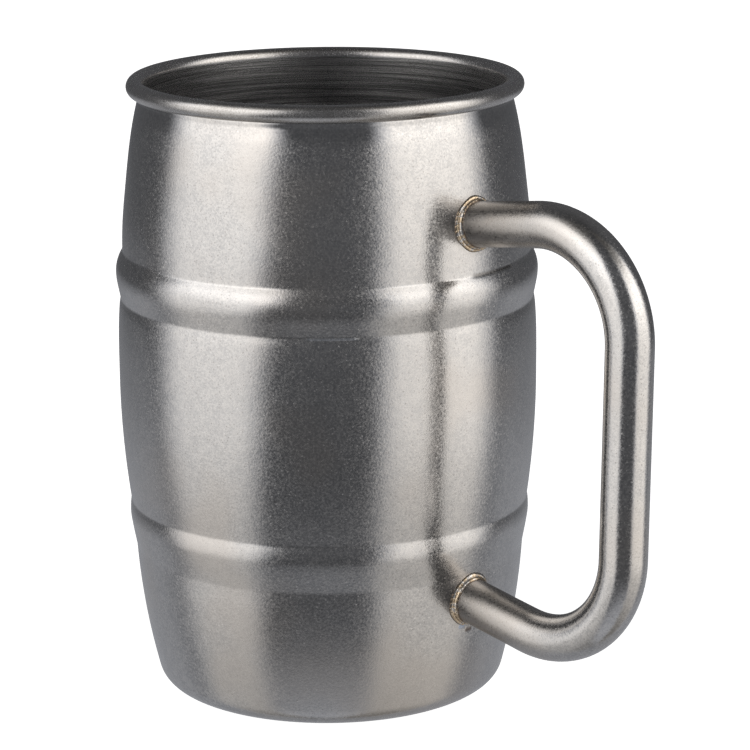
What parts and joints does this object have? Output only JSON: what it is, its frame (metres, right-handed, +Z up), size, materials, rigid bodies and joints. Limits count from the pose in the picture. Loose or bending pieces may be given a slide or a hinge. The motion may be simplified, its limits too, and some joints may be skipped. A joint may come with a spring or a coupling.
{
  "type": "barrel mug",
  "caption": "Lidless double-walled barrel mug in pewter-toned steel: hooped barrel, inner cup with a curled lip, welded tube handle.",
  "frame": {"origin": "on the barrel's axis, in the plane of the flat ring that the mug stands on", "axes": "+Z up along the barrel's axis and out of the mouth, +X from the axis towards the handle's grip"},
  "size_m": [0.1355, 0.0912, 0.134],
  "materials": {
    "barrel_steel": "tumbled satin, speckled, pewter-toned",
    "cup_steel": "satin, brushed round the axis",
    "base_steel": "tumbled satin",
    "handle_steel": "tumbled satin, lightly scratched",
    "weld_bead": "rippled weld with straw heat tint",
    "seam_weld": "as-welded seam"
  },
  "bodies": {
    "root": {"outer_shell": "barrel_steel", "inner_cup": "cup_steel", "base_disc": "base_steel", "handle_tube": "handle_steel", "upper_handle_weld": "weld_bead", "lower_handle_weld": "weld_bead", "lip_seam_weld": "seam_weld", "base_seam_weld": "seam_weld"}
  },
  "joints": []
}
